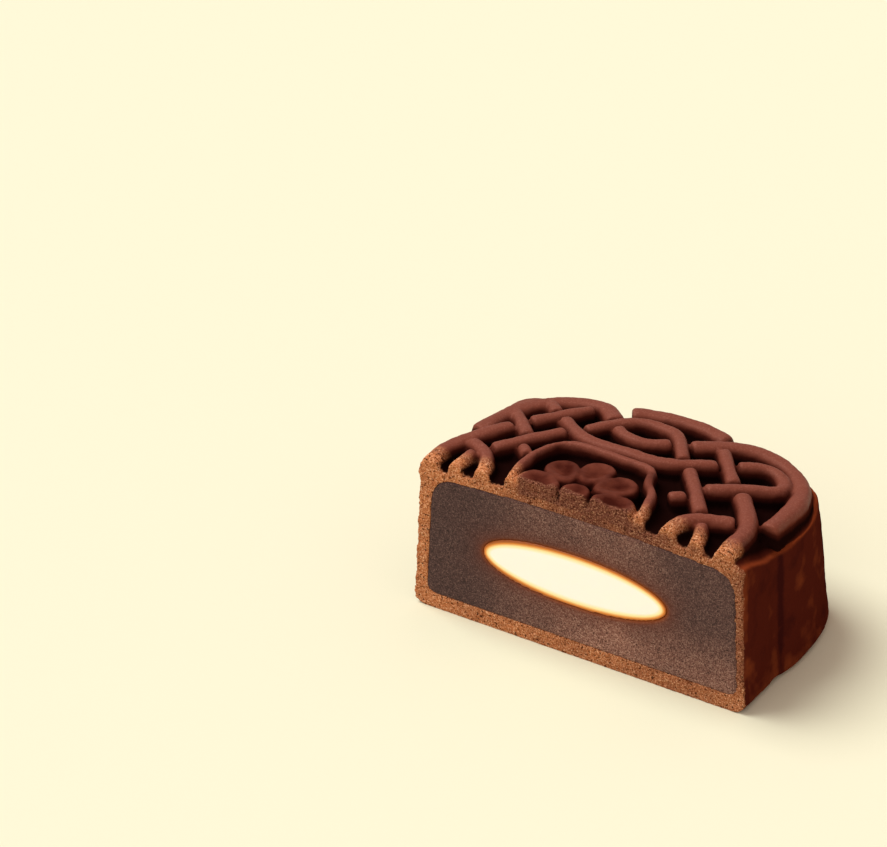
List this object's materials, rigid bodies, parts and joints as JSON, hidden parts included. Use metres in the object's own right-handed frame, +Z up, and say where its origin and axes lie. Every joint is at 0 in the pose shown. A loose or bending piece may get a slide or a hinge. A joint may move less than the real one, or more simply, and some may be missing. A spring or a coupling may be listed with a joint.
{
  "type": "half mooncake",
  "caption": "Half of a lobed square mooncake with an interlaced relief on its domed top, cut to show the bean paste filling and the custard core.",
  "frame": {"origin": "middle of the bounding box's underside, on the surface that the cake rests on", "axes": "+Z up from the base; +X along the cut face; +Y from the cut face back into the cake, so that the cut face looks along -Y"},
  "size_m": [0.0616, 0.0369, 0.0303],
  "materials": {
    "cocoa_crust": "baked cocoa dough, smooth with a faint egg-wash sheen on its moulded faces and a porous crumb where cut",
    "bean_paste": "dense fine-grained paste, dull",
    "egg_custard": "smooth soft custard, satin"
  },
  "bodies": {
    "root": {"crust": "cocoa_crust", "filling": "bean_paste", "custard": "egg_custard"}
  },
  "joints": []
}
